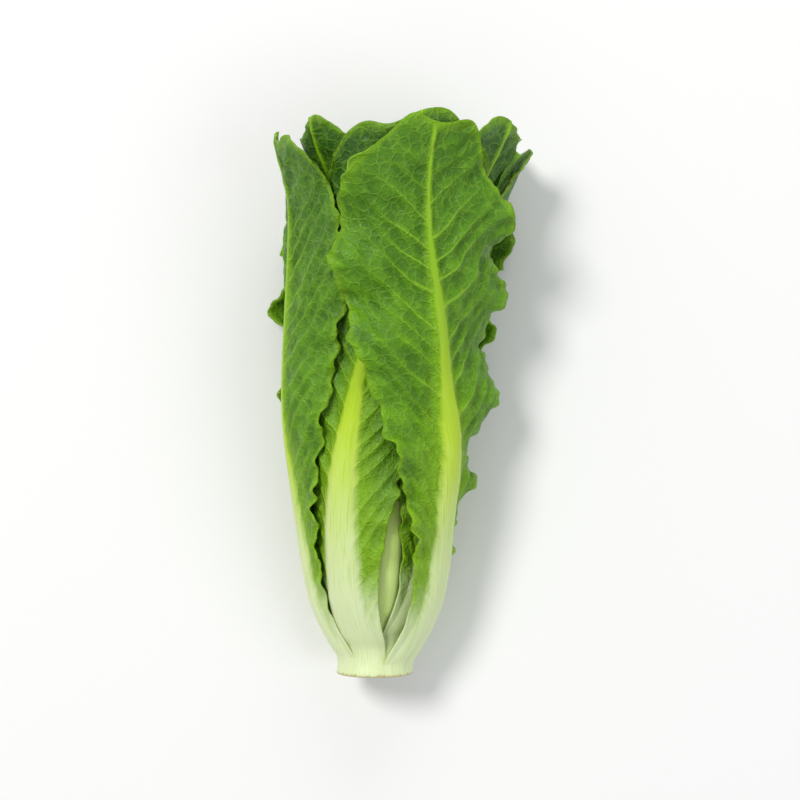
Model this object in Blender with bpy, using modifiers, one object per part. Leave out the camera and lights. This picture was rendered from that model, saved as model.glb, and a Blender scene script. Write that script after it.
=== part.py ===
"""Head of romaine lettuce, whole and freshly cut, lying on its side.

The head lies along Y: the cut stem is at -Y and the leaf tips are at +Y. The leaves grow from
a short cone-shaped stem at the golden angle, outermost first, and lie in nested layers round
the head's axis. The flat underside of the lowest leaf rests on z = 0, with the origin under
the head's weight. Units are metres, +Z is up.
"""

import math
import random

import bmesh
import bpy
import numpy as np
from mathutils import Matrix, Vector

# Whole head. "Station" is the distance along the head from the cut face of the stem.
HEAD_LENGTH = 0.290
ORIGIN_STATION = 0.131
LEAF_COUNT = 21
OUTER_COUNT = 9
INNER_COUNT = 7
GOLDEN_ANGLE = math.radians(137.508)
LOWEST_LEAF_TURN = math.radians(180)

# Round the head: radius at the cut end, how it swells along the body, and how the tips spread.
BUTT_RADIUS = 0.024
BODY_SWELL = 0.026
SWELL_LENGTH = 0.070
TIP_SPREAD = 0.018
TIP_SPREAD_POWER = 3
HEART_RADIUS = 0.0035
HEART_SPREAD = 0.008

# Centre line: it climbs from the butt as the head thickens, and bends to +X near the tips.
AXIS_START_HEIGHT = 0.029
AXIS_SLOPE = 0.10
AXIS_STRAIGHT = 0.070
AXIS_CLIMB = 0.012
AXIS_CLIMB_LENGTH = 0.120
SIDE_BEND = 0.020
SIDE_START = -0.005
WIDER = 0.07
LOWER = 0.08
OVAL_START = 0.05
OVAL_LENGTH = 0.10
SAG_SPACING = 0.74
SAG_BLEND = 0.004

# Stem
STEM_RADIUS = 0.0195
STEM_TAPER_LENGTH = 0.078
STEM_TAPER_POWER = 1.3
STEM_TIP_RADIUS = 0.003
STEM_CONE_LENGTH = 0.062
STEM_LENGTH = 0.067
STEM_EDGE = 0.0015
STEM_SIDES = 28
STEM_TIP_POINTS = 3
STEM_CONE_POINTS = 6
STEM_WELD = 0.00005
STEM_SHARP_ANGLE = math.radians(40)

# Leaves
FIRST_ROOT = 0.003
LAST_ROOT = 0.057
ROOT_POWER = 0.9
ROOT_SPREAD_LENGTH = 0.011
ROOT_GAP = 0.0006
ROOT_WRAP = 1.08
ROOT_THINNING = 0.45
ROOT_THICKENS = 0.014
RIB_FILL = 2.3
MOST_WRAP = math.radians(61)
WIDEST_AT = 0.73
WIDENING_POWER = 1.2
LOW_WIDENING = 0.35
OUTER_STEP = 1.35
SHORTEST_BY = 0.085
SHORTENING_POWER = 1.5
INNER_TIP_PLAY = 0.008
INNER_LEAN = 8.0
OUTER_HALF_WIDTH = 0.060
HEART_HALF_WIDTH = 0.022
NARROWING_POWER = 1.1
OUTER_RIB_THICKNESS = 0.0062
HEART_RIB_THICKNESS = 0.0024
OUTER_BLADE = 0.0010
HEART_BLADE = 0.0007
OUTER_RIB_HALF_WIDTH = 0.0165
RIB_TIP_HALF_WIDTH = 0.0012
RIB_WIDTH_POWER = 1.6
RIB_THINNING_POWER = 1.3
RIB_CROWN_POWER = 0.9
RIB_LEAST = 0.0004
RUFFLE = 0.60
LIFTED_RUFFLE = 0.70
RUFFLE_LENGTH = 0.047
RUFFLE_DRIFT_LENGTH = 0.12
RUFFLE_DRIFT = 0.8
RUFFLE_START = 0.10
RUFFLE_FULL = 0.45
LIFT_FULL = 0.5
CURL_START = 0.80
TIP_WAVER = 0.0035
TIP_WAVES = 1.1
COLUMN_CROWDING = 0.45

# Gentle dents that the nested leaves share: waves round the head, twist along it, phase, weight.
DENT = 0.035
DENT_FADE = 0.15
DENT_WAVES = [(3, 9.0, 0.7, 1.0), (5, -14.0, 2.1, 0.7)]

# How the outer leaves differ, outermost first: turn of the root against the golden angle and
# lean of the rib from root to tip, both in degrees, then tip station, width against the usual,
# lift of the free edges, and curl of the tip.
OUTER_HABIT = [
    (0, 0, 0.283, 0.98, 0.006, 0.000),
    (34, -66, 0.287, 0.75, 0.006, 0.002),
    (0, 18, 0.284, 0.85, 0.000, 0.008),
    (0, -6, 0.283, 1.00, 0.000, 0.005),
    (-26, 40, 0.289, 1.00, 0.000, 0.010),
    (0, 0, 0.281, 1.00, 0.000, 0.000),
    (0, -14, 0.288, 1.02, 0.000, 0.007),
    (2, 4, 0.288, 0.98, 0.000, 0.012),
    (0, 4, 0.278, 1.00, 0.000, 0.000),
]

# Grid of each kind of leaf: columns across and rows along
GRIDS = {"outer_leaf": (8, 24), "inner_leaf": (6, 17), "heart_leaf": (6, 12)}
ROWS_BELOW_WIDEST = 0.68

COLOURS = {
    "stem": (0.66, 0.72, 0.42, 1.0),
    "outer_leaf": (0.10, 0.22, 0.02, 1.0),
    "inner_leaf": (0.20, 0.36, 0.04, 1.0),
    "heart_leaf": (0.50, 0.58, 0.14, 1.0),
}
ROUGHNESS = 0.42


def smooth(x):
    """Ease from 0 to 1 as x goes from 0 to 1."""
    x = np.clip(x, 0.0, 1.0)
    return x * x * (3.0 - 2.0 * x)


def head_radius(station):
    """Radius of the outermost layer."""
    swell = BODY_SWELL * (1.0 - np.exp(-station / SWELL_LENGTH))
    return BUTT_RADIUS + swell + TIP_SPREAD * (station / HEAD_LENGTH) ** TIP_SPREAD_POWER


def heart_radius(station):
    """Radius of the innermost layer."""
    return HEART_RADIUS + HEART_SPREAD * station / HEAD_LENGTH


def stem_radius(station):
    left = np.maximum(1.0 - station / STEM_TAPER_LENGTH, 0.0)
    return np.maximum(STEM_RADIUS * left**STEM_TAPER_POWER, STEM_TIP_RADIUS)


def axis_height(station):
    straight = AXIS_START_HEIGHT + AXIS_SLOPE * np.minimum(station, AXIS_STRAIGHT)
    beyond = np.maximum(station - AXIS_STRAIGHT, 0.0)
    return straight + AXIS_CLIMB * (1.0 - np.exp(-beyond / AXIS_CLIMB_LENGTH))


def axis_side(station):
    beyond = np.maximum(station - AXIS_STRAIGHT, 0.0) / (HEAD_LENGTH - AXIS_STRAIGHT)
    return SIDE_START + SIDE_BEND * beyond**2


def smooth_min(a, b, blend):
    """The smaller of two values, rounded where they meet and exact elsewhere."""
    near = np.maximum(blend - np.abs(a - b), 0.0) / blend
    return np.minimum(a, b) - near * near * blend / 4.0


def dents(turn, station):
    """The shared dents, as a fraction of the radius."""
    along = station / HEAD_LENGTH
    waves = sum(
        weight * np.sin(count * turn + twist * along + phase)
        for count, twist, phase, weight in DENT_WAVES
    )
    return DENT * smooth(station / DENT_FADE) * waves


def place(turn, radius, station, depth):
    """World points from a turn about the axis (0 is up, positive to +X) and a radius.

    depth is 0 for the outermost layer and 1 for the innermost, and sets how far above the
    floor a layer is held where the head's weight flattens it.
    """
    oval = smooth((station - OVAL_START) / OVAL_LENGTH)
    height = axis_height(station)
    side = axis_side(station) + (1.0 + WIDER * oval) * radius * np.sin(turn)
    below = -(1.0 - LOWER * oval) * radius * np.cos(turn)
    held = SAG_SPACING * depth * (head_radius(station) - heart_radius(station))
    below = smooth_min(below, height - held, SAG_BLEND)
    return np.stack([side, station - ORIGIN_STATION, height - below], axis=-1)


def describe_leaf(index, rng):
    """Where a leaf grows and how big it is. Index 0 is the outermost leaf."""
    inward = index / (LEAF_COUNT - 1)
    kind = "heart_leaf"
    if index < OUTER_COUNT + INNER_COUNT:
        kind = "inner_leaf"
    if index < OUTER_COUNT:
        kind = "outer_leaf"
    leaf = {
        "kind": kind,
        "inward": inward,
        "depth": OUTER_STEP * inward - (OUTER_STEP - 1.0) * inward**2,
        "turn": LOWEST_LEAF_TURN - GOLDEN_ANGLE * index,
        "root": FIRST_ROOT + (LAST_ROOT - FIRST_ROOT) * inward**ROOT_POWER,
        "half_width": (
            OUTER_HALF_WIDTH + (HEART_HALF_WIDTH - OUTER_HALF_WIDTH) * inward**NARROWING_POWER
        ),
        "rib": OUTER_RIB_THICKNESS + (HEART_RIB_THICKNESS - OUTER_RIB_THICKNESS) * inward,
        "blade": OUTER_BLADE + (HEART_BLADE - OUTER_BLADE) * inward,
        "phases": [rng.uniform(0.0, math.tau) for _ in range(2)],
    }
    if index < len(OUTER_HABIT):
        shift, lean, tip, width, lift, curl = OUTER_HABIT[index]
    else:
        lean = rng.uniform(-INNER_LEAN, INNER_LEAN)
        tip = HEAD_LENGTH - SHORTEST_BY * inward**SHORTENING_POWER
        tip -= rng.uniform(0.0, INNER_TIP_PLAY)
        shift, width, lift, curl = 0.0, 1.0, 0.0, 0.0
    leaf["turn"] += math.radians(shift)
    leaf["lean"] = math.radians(lean)
    leaf["tip"] = tip
    leaf["half_width"] *= width
    leaf["lift"] = lift
    leaf["curl"] = curl
    return leaf


def outline(leaf, across, along):
    """Arc distance from the rib and station of grid points, with a rounded tip."""
    length = leaf["tip"] - leaf["root"]
    root_half = ROOT_WRAP * stem_radius(leaf["root"])
    low = np.clip(along / ROWS_BELOW_WIDEST, 0.0, 1.0)
    widened = LOW_WIDENING * low + (1.0 - LOW_WIDENING) * smooth(low) ** WIDENING_POWER
    half = root_half + (leaf["half_width"] - root_half) * widened
    station = leaf["root"] + WIDEST_AT * length * low
    up = np.clip((along - ROWS_BELOW_WIDEST) / (1.0 - ROWS_BELOW_WIDEST), 0.0, 1.0)
    arc = across * half * np.sqrt(1.0 - up**2 / 2.0)
    station = station + (1.0 - WIDEST_AT) * length * up * np.sqrt(1.0 - across**2 / 2.0)
    station = station + TIP_WAVER * up * np.sin(math.tau * TIP_WAVES * across + leaf["phases"][0])
    return arc, station


def leaf_points(leaf, across, along):
    """Points of a leaf's outer face and its thickness at each of them."""
    arc, station = outline(leaf, across, along)
    fraction = np.clip((station - leaf["root"]) / (leaf["tip"] - leaf["root"]), 0.0, 1.0)

    # rib: thick and wide at the root, thin and narrow at the tip
    rooted_half = OUTER_RIB_HALF_WIDTH * stem_radius(leaf["root"]) / STEM_RADIUS
    rib_half = RIB_TIP_HALF_WIDTH + rooted_half * (1.0 - fraction) ** RIB_WIDTH_POWER
    crown = np.maximum(1.0 - (arc / rib_half) ** 2, 0.0) ** RIB_CROWN_POWER
    rib = (leaf["rib"] - leaf["blade"]) * (1.0 - fraction) ** RIB_THINNING_POWER + RIB_LEAST
    rooted = 1.0 - ROOT_THINNING * (1.0 - smooth((station - leaf["root"]) / ROOT_THICKENS))
    spread = head_radius(station) - heart_radius(station)
    step = spread * (OUTER_STEP - 2.0 * (OUTER_STEP - 1.0) * leaf["inward"]) / (LEAF_COUNT - 1)
    thickness = leaf["blade"] + np.minimum(rib * rooted, RIB_FILL * step) * crown

    # layer: clear of the stem at the root, then out to its place in the head
    layer = head_radius(station) - leaf["depth"] * spread
    clear = stem_radius(station) + ROOT_GAP
    leave = 1.0 - np.exp(-(station - leaf["root"]) / ROOT_SPREAD_LENGTH)
    radius = clear + np.maximum(layer - clear, 0.0) * leave
    wrap = np.abs(arc) / np.maximum(np.abs(across), 1e-6) / radius
    turn = leaf["turn"] + leaf["lean"] * smooth(fraction) + across * np.minimum(wrap, MOST_WRAP)

    # waved edges, lifted edges and the curl of the tip
    phase = np.where(across < 0.0, leaf["phases"][0], leaf["phases"][1])
    drift = np.sin(math.tau * station / RUFFLE_DRIFT_LENGTH + 2.0 * phase)
    wave = np.sin(math.tau * station / RUFFLE_LENGTH + phase + RUFFLE_DRIFT * drift)
    edge = np.abs(across) ** 2
    depth_of_wave = RUFFLE * step + LIFTED_RUFFLE * leaf["lift"]
    ruffle = depth_of_wave * wave * edge * smooth((fraction - RUFFLE_START) / (RUFFLE_FULL - RUFFLE_START))
    lift = leaf["lift"] * edge * smooth(fraction / LIFT_FULL)
    curl = leaf["curl"] * smooth((fraction - CURL_START) / (1.0 - CURL_START)) ** 2
    radius = radius * (1.0 + dents(turn, station)) + ruffle + lift + curl + thickness
    return place(turn, radius, station, leaf["depth"]), thickness


def material(name):
    mat = bpy.data.materials.new(name)
    mat.use_nodes = True
    shader = mat.node_tree.nodes["Principled BSDF"]
    shader.inputs["Base Color"].default_value = COLOURS[name]
    shader.inputs["Roughness"].default_value = ROUGHNESS
    shader.inputs["Metallic"].default_value = 0.0
    return mat


def add_leaf(name, leaf, collection, head, mat):
    """One leaf: a grid bent into the outer face, thickened inwards."""
    columns, rows = GRIDS[leaf["kind"]]
    bm = bmesh.new()
    bmesh.ops.create_grid(bm, x_segments=columns, y_segments=rows, size=1.0)
    flat = np.array([vert.co for vert in bm.verts])
    # columns crowd towards the rib
    across = flat[:, 0] * (1.0 - COLUMN_CROWDING + COLUMN_CROWDING * flat[:, 0] ** 2)
    points, thickness = leaf_points(leaf, across, (flat[:, 1] + 1.0) / 2.0)
    root = place(leaf["turn"], stem_radius(leaf["root"]), leaf["root"], leaf["depth"])
    for vert, point in zip(bm.verts, points - root):
        vert.co = Vector(point)
    bmesh.ops.triangulate(bm, faces=bm.faces[:])
    mesh = bpy.data.meshes.new(name)
    bm.to_mesh(mesh)
    bm.free()
    mesh.materials.append(mat)
    mesh.shade_smooth()

    obj = bpy.data.objects.new(name, mesh)
    collection.objects.link(obj)
    obj.parent = head
    obj.location = Vector(root)
    group = obj.vertex_groups.new(name="thickness")
    thickest = float(thickness.max())
    for number, value in enumerate(thickness):
        group.add([number], float(value) / thickest, "REPLACE")
    solidify = obj.modifiers.new("thickness", "SOLIDIFY")
    solidify.thickness = thickest
    solidify.offset = -1.0
    solidify.vertex_group = group.name
    return obj


def add_stem(collection, head, mat):
    """The short cone that the leaves grow from, turned and then leaned with the head's axis."""
    profile = []
    for number in range(STEM_TIP_POINTS + 1):
        angle = math.pi / 2 * number / STEM_TIP_POINTS
        top = STEM_LENGTH - STEM_CONE_LENGTH
        radius = float(stem_radius(STEM_CONE_LENGTH)) * math.sin(angle)
        profile.append((radius, STEM_CONE_LENGTH + top * math.cos(angle)))
    for number in range(STEM_CONE_POINTS, 0, -1):
        station = STEM_EDGE + (STEM_CONE_LENGTH - STEM_EDGE) * (number - 1) / STEM_CONE_POINTS
        profile.append((float(stem_radius(station)), station))
    profile.append((STEM_RADIUS - STEM_EDGE, 0.0))
    profile.append((0.0, 0.0))
    mesh = bpy.data.meshes.new("stem")
    edges = [(number, number + 1) for number in range(len(profile) - 1)]
    mesh.from_pydata([(radius, 0.0, station) for radius, station in profile], edges, [])
    obj = bpy.data.objects.new("stem", mesh)
    collection.objects.link(obj)
    screw = obj.modifiers.new("turned", "SCREW")
    screw.angle = math.tau
    screw.steps = STEM_SIDES
    screw.render_steps = STEM_SIDES
    screw.use_merge_vertices = True
    screw.merge_threshold = STEM_WELD

    turned = bpy.data.meshes.new_from_object(obj.evaluated_get(bpy.context.evaluated_depsgraph_get()))
    obj.modifiers.clear()
    turned.transform(Matrix.Rotation(math.radians(-90), 4, "X"))
    lean = Matrix.Identity(4)
    lean[2][1] = AXIS_SLOPE
    turned.transform(lean)
    turned.materials.append(mat)
    turned.shade_smooth()
    turned.set_sharp_from_angle(angle=STEM_SHARP_ANGLE)
    obj.data = turned
    bpy.data.meshes.remove(mesh)
    turned.name = "stem"
    obj.parent = head
    obj.location = (SIDE_START, -ORIGIN_STATION, AXIS_START_HEIGHT)
    return obj


def main():
    for obj in list(bpy.data.objects):
        bpy.data.objects.remove(obj, do_unlink=True)
    collection = bpy.data.collections.new("romaine_lettuce_head")
    bpy.context.scene.collection.children.link(collection)
    head = bpy.data.objects.new("head", None)
    collection.objects.link(head)
    materials = {name: material(name) for name in COLOURS}

    add_stem(collection, head, materials["stem"])
    rng = random.Random(7)
    numbers = {kind: 0 for kind in GRIDS}
    for index in range(LEAF_COUNT):
        leaf = describe_leaf(index, rng)
        numbers[leaf["kind"]] += 1
        name = f"{leaf['kind']}_{numbers[leaf['kind']]:02d}"
        add_leaf(name, leaf, collection, head, materials[leaf["kind"]])


main()
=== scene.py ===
import math
import random

import bpy
import numpy as np
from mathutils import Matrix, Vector


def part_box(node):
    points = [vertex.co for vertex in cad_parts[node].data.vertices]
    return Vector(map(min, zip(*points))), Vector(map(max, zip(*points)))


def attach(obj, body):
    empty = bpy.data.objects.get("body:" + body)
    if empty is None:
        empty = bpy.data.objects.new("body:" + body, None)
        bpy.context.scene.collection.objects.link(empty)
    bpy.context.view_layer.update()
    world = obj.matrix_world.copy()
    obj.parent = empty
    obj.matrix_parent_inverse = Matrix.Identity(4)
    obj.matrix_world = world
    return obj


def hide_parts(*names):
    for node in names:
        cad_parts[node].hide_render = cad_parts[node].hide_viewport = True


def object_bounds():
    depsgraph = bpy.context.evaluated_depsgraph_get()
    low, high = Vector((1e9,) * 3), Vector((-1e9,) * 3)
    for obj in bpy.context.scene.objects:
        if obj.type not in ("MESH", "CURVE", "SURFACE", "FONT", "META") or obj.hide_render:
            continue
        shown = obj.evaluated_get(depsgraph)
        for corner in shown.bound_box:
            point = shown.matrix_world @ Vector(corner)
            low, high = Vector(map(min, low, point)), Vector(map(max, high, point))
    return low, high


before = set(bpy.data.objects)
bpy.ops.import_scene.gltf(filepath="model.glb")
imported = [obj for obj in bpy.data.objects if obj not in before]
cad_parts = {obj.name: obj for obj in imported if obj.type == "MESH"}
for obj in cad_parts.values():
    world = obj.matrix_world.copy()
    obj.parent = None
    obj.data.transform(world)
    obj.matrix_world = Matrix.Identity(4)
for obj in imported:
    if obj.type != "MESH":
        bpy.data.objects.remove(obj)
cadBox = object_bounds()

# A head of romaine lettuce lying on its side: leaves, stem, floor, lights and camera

# The head as a whole, in metres. It lies along Y. A station is the distance from the cut face of
# the stem, and a turn is the angle about the head's axis, 0 upwards and positive towards +X.
head = {
    "leaves": 21, "outerLeaves": 9, "innerLeaves": 7,
    "leafAngle": math.radians(137.508), "lowestTurn": math.radians(180),
    "length": 0.290, "butt": 0.024, "swell": 0.026, "swellLength": 0.070,
    "tipSpread": 0.018, "tipSpreadPower": 3,
    "heart": 0.0035, "heartSpread": 0.008,
    "height": 0.029, "slope": 0.10, "straight": 0.070, "climb": 0.012, "climbLength": 0.120,
    "side": -0.005, "sideBend": 0.020,
    "wider": 0.07, "lower": 0.08, "ovalStart": 0.05, "ovalLength": 0.10,
    "sagSpacing": 0.74, "sagBlend": 0.004,
}
originStation = -float(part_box("stem")[0][1])
millimetres = 1000.0  # in a metre, for the patterns of the materials

# Gentle dents that the nested leaves share: waves round the head, twist along it, phase, weight
dents = {"depth": 0.035, "fade": 0.15, "waves": [(3, 9.0, 0.7, 1.0), (5, -14.0, 2.1, 0.7)]}

# The stem's cone
cone = {
    "radius": 0.0195, "taper": 0.078, "taperPower": 1.3, "tipRadius": 0.003,
    "length": 0.062, "withTip": 0.067,
}


def smooth(x):
    x = np.clip(x, 0.0, 1.0)
    return x * x * (3.0 - 2.0 * x)


def headRadius(station):
    swell = head["swell"] * (1.0 - np.exp(-station / head["swellLength"]))
    flare = head["tipSpread"] * (station / head["length"]) ** head["tipSpreadPower"]
    return head["butt"] + swell + flare


def heartRadius(station):
    return head["heart"] + head["heartSpread"] * station / head["length"]


def stemRadius(station):
    left = np.maximum(1.0 - station / cone["taper"], 0.0)
    return np.maximum(cone["radius"] * left ** cone["taperPower"], cone["tipRadius"])


def axisHeight(station):
    straight = head["height"] + head["slope"] * np.minimum(station, head["straight"])
    beyond = np.maximum(station - head["straight"], 0.0)
    return straight + head["climb"] * (1.0 - np.exp(-beyond / head["climbLength"]))


def axisSide(station):
    beyond = np.maximum(station - head["straight"], 0.0) / (head["length"] - head["straight"])
    return head["side"] + head["sideBend"] * beyond**2


# The smaller of two values, rounded where they meet and exact elsewhere
def smoothMin(a, b, blend):
    near = np.maximum(blend - np.abs(a - b), 0.0) / blend
    return np.minimum(a, b) - near * near * blend / 4.0


# The shared dents, as a fraction of the radius
def dentsAt(turn, station):
    along = station / head["length"]
    waves = sum(
        weight * np.sin(count * turn + twist * along + phase)
        for count, twist, phase, weight in dents["waves"]
    )
    return dents["depth"] * smooth(station / dents["fade"]) * waves


# World points, flattened underneath where the head's weight presses its layers
def place(turn, radius, station, depth):
    oval = smooth((station - head["ovalStart"]) / head["ovalLength"])
    height = axisHeight(station)
    side = axisSide(station) + (1.0 + head["wider"] * oval) * radius * np.sin(turn)
    below = -(1.0 - head["lower"] * oval) * radius * np.cos(turn)
    held = head["sagSpacing"] * depth * (headRadius(station) - heartRadius(station))
    below = smoothMin(below, height - held, head["sagBlend"])
    return np.stack([side, station - originStation, height - below], axis=-1)


# The leaves. A pair is the value of the outermost leaf and that of the innermost one.
leaves = {
    "root": (0.003, 0.057), "rootPower": 0.9, "halfWidth": (0.060, 0.022), "narrowingPower": 1.1,
    "rib": (0.0062, 0.0024), "blade": (0.0010, 0.0007), "outerStep": 1.35,
    "shortestBy": 0.085, "shorteningPower": 1.5, "tipPlay": 0.008, "lean": 8.0, "tone": 0.5,
    "seed": 7,
}

# How the outer leaves differ, outermost first: turn of the root against the golden angle and
# lean of the rib from root to tip, in degrees, tip station, width against the usual, lift of
# the free edges, curl of the tip, and tone from fresh green, 0, to dark, 1.
outerHabit = [
    (0, 0, 0.283, 0.98, 0.006, 0.000, 0.60),
    (34, -66, 0.287, 0.75, 0.006, 0.002, 0.15),
    (0, 18, 0.284, 0.85, 0.000, 0.008, 0.35),
    (0, -6, 0.283, 1.00, 0.000, 0.005, 0.50),
    (-26, 40, 0.289, 1.00, 0.000, 0.010, 0.80),
    (0, 0, 0.281, 1.00, 0.000, 0.000, 0.50),
    (0, -14, 0.288, 1.02, 0.000, 0.007, 0.90),
    (2, 4, 0.288, 0.98, 0.000, 0.012, 1.00),
    (0, 4, 0.278, 1.00, 0.000, 0.000, 0.60),
]


# From the pair's first value to its second
def between(pair, share):
    return pair[0] + (pair[1] - pair[0]) * share


# The values of one leaf, counted from the outermost
def describeLeaf(index, rng):
    inward = index / (head["leaves"] - 1)
    kind = "heart_leaf"
    if index < head["outerLeaves"] + head["innerLeaves"]:
        kind = "inner_leaf"
    if index < head["outerLeaves"]:
        kind = "outer_leaf"
    leaf = {
        "kind": kind,
        "seed": index,
        "inward": inward,
        "depth": leaves["outerStep"] * inward - (leaves["outerStep"] - 1.0) * inward**2,
        "turn": head["lowestTurn"] - head["leafAngle"] * index,
        "root": between(leaves["root"], inward ** leaves["rootPower"]),
        "halfWidth": between(leaves["halfWidth"], inward ** leaves["narrowingPower"]),
        "rib": between(leaves["rib"], inward),
        "blade": between(leaves["blade"], inward),
        "phases": [rng.uniform(0.0, math.tau) for _ in range(2)],
    }
    if index < len(outerHabit):
        shift, lean, tip, width, lift, curl, tone = outerHabit[index]
    else:
        lean = rng.uniform(-leaves["lean"], leaves["lean"])
        shorter = leaves["shortestBy"] * inward ** leaves["shorteningPower"]
        tip = head["length"] - shorter - rng.uniform(0.0, leaves["tipPlay"])
        shift, width, lift, curl, tone = 0.0, 1.0, 0.0, 0.0, leaves["tone"]
    leaf["turn"] += math.radians(shift)
    leaf["lean"] = math.radians(lean)
    leaf["tip"] = tip
    leaf["halfWidth"] *= width
    leaf["lift"] = lift
    leaf["curl"] = curl
    leaf["tone"] = tone
    return leaf


# The outline of a leaf, with its wavy tip and its scallops: their height at the sides and at the
# tip, then their wave lengths
outline = {
    "rootWrap": 1.08, "widestAt": 0.73, "wideningPower": 1.2, "lowWidening": 0.35,
    "rowsBelowWidest": 0.68, "tipWaver": 0.0035, "tipWaves": 1.1, "tipCalm": 0.7,
    "scallop": 0.0011, "tipScallop": 0.0005, "long": 0.0231, "short": 0.0097, "tip": 0.0170,
    "shortShare": 0.6, "scallopStart": 0.15, "scallopRise": 0.3, "cornerCalm": 0.9,
}


# 0 up to the leaf's widest row and 1 at its tip
def aboveWidest(along):
    below = outline["rowsBelowWidest"]
    return np.clip((along - below) / (1.0 - below), 0.0, 1.0)


# Arc distance from the rib and station of grid points, with a rounded tip
def outlineOf(leaf, across, along):
    length = leaf["tip"] - leaf["root"]
    widestAt, lowWidening = outline["widestAt"], outline["lowWidening"]
    rootHalf = outline["rootWrap"] * stemRadius(leaf["root"])
    low = np.clip(along / outline["rowsBelowWidest"], 0.0, 1.0)
    widened = lowWidening * low + (1.0 - lowWidening) * smooth(low) ** outline["wideningPower"]
    half = rootHalf + (leaf["halfWidth"] - rootHalf) * widened
    station = leaf["root"] + widestAt * length * low
    up = aboveWidest(along)
    arc = across * half * np.sqrt(1.0 - up**2 / 2.0)
    station = station + (1.0 - widestAt) * length * up * np.sqrt(1.0 - across**2 / 2.0)
    first, second = leaf["phases"]
    calm = 1.0 - outline["tipCalm"] * across**4
    waver = outline["tipWaver"] * up * calm
    station = station + waver * np.sin(math.tau * outline["tipWaves"] * across + first)

    # scallops along the sides and then along the tip, both calm at the corners between them
    waves = np.sin(math.tau * station / outline["long"] + 5.0 * second * np.sign(across))
    waves += outline["shortShare"] * np.sin(math.tau * station / outline["short"] + 3.0 * first)
    fade = smooth((low - outline["scallopStart"]) / outline["scallopRise"])
    fade = fade * (1.0 - outline["cornerCalm"] * up**4)
    arc = arc + outline["scallop"] * waves * across**5 * fade
    calm = 1.0 - outline["cornerCalm"] * across**4
    wave = np.sin(math.tau * arc / outline["tip"] + second)
    station = station + outline["tipScallop"] * calm * up**5 * wave
    return arc, station


# Room between one layer of leaves and the next
def layerStep(leaf, station):
    spread = headRadius(station) - heartRadius(station)
    step = leaves["outerStep"]
    return spread * (step - 2.0 * (step - 1.0) * leaf["inward"]) / (head["leaves"] - 1)


# The section of a leaf: its rib from root to tip
section = {
    "ribHalfWidth": 0.0165, "ribTipHalfWidth": 0.0012, "ribWidthPower": 1.6,
    "ribThinningPower": 1.3, "crownPower": 0.9, "ribLeast": 0.0004, "ribFill": 2.3,
}


# Thickness of a leaf, and the distance from its rib in half widths of the rib
def leafSection(leaf, arc, station, fraction):
    left = 1.0 - fraction
    rootedHalf = section["ribHalfWidth"] * stemRadius(leaf["root"]) / cone["radius"]
    half = section["ribTipHalfWidth"] + rootedHalf * left ** section["ribWidthPower"]
    ribReach = np.abs(arc) / half
    crown = np.maximum(1.0 - ribReach**2, 0.0) ** section["crownPower"]
    rib = (leaf["rib"] - leaf["blade"]) * left ** section["ribThinningPower"] + section["ribLeast"]
    most = section["ribFill"] * layerStep(leaf, station)
    return leaf["blade"] + np.minimum(rib, most) * crown, ribReach


# How a leaf leaves the stem, wraps the head and ruffles. A ruffle's depth is a share of the room
# between layers, and of the leaf's lift.
wrapping = {
    "gap": 0.0006, "spread": 0.011, "most": math.radians(61),
    "ruffle": 0.60, "liftedRuffle": 0.70, "ruffleStart": 0.10, "ruffleFull": 0.45,
    "ruffleLength": 0.047, "drift": 0.8, "driftLength": 0.12, "liftFull": 0.5, "curlStart": 0.80,
    "sink": 0.2, "sinkLength": 0.006, "rootThickness": 0.35,
}


# The leaf's outer face before its fine relief, and the fields that its relief needs
def leafForm(leaf, across, along):
    arc, station = outlineOf(leaf, across, along)
    fromRoot = np.maximum(station - leaf["root"], 0.0)
    fraction = np.clip(fromRoot / (leaf["tip"] - leaf["root"]), 0.0, 1.0)
    thickness, ribReach = leafSection(leaf, arc, station, fraction)
    spread = headRadius(station) - heartRadius(station)
    layer = headRadius(station) - leaf["depth"] * spread
    clear = stemRadius(station) + wrapping["gap"]
    leave = 1.0 - np.exp(-fromRoot / wrapping["spread"])
    radius = clear + np.maximum(layer - clear, 0.0) * leave
    wrap = np.abs(arc) / np.maximum(np.abs(across), 1e-6) / radius
    wrap = np.minimum(wrap, wrapping["most"])
    turn = leaf["turn"] + leaf["lean"] * smooth(fraction) + across * wrap

    phase = np.where(across < 0.0, leaf["phases"][0], leaf["phases"][1])
    drift = np.sin(math.tau * station / wrapping["driftLength"] + 2.0 * phase)
    drift = wrapping["drift"] * drift
    wave = np.sin(math.tau * station / wrapping["ruffleLength"] + phase + drift)
    edge = across**2
    depth = wrapping["ruffle"] * layerStep(leaf, station) + wrapping["liftedRuffle"] * leaf["lift"]
    start, full = wrapping["ruffleStart"], wrapping["ruffleFull"]
    ruffle = depth * wave * edge * smooth((fraction - start) / (full - start))
    lift = leaf["lift"] * edge * smooth(fraction / wrapping["liftFull"])
    start = wrapping["curlStart"]
    curl = leaf["curl"] * smooth((fraction - start) / (1.0 - start)) ** 2
    radius = radius * (1.0 + dentsAt(turn, station)) + ruffle + lift + curl + thickness

    # the root sinks towards the stem, where the leaf's foot takes over
    rooted = smooth(fromRoot / wrapping["sinkLength"])
    radius = radius - wrapping["sink"] * thickness * (1.0 - rooted)
    least = wrapping["rootThickness"]
    thickness = thickness * (least + (1.0 - least) * rooted)
    fields = {
        "arc": arc, "fromRoot": fromRoot, "fraction": fraction, "station": station,
        "ribReach": ribReach, "phase": phase, "turn": turn, "radius": radius,
        "halfHere": np.where(aboveWidest(along) > 0.0, leaf["halfWidth"], np.abs(arc)),
    }
    return place(turn, radius, station, leaf["depth"]), thickness, fields


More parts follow.
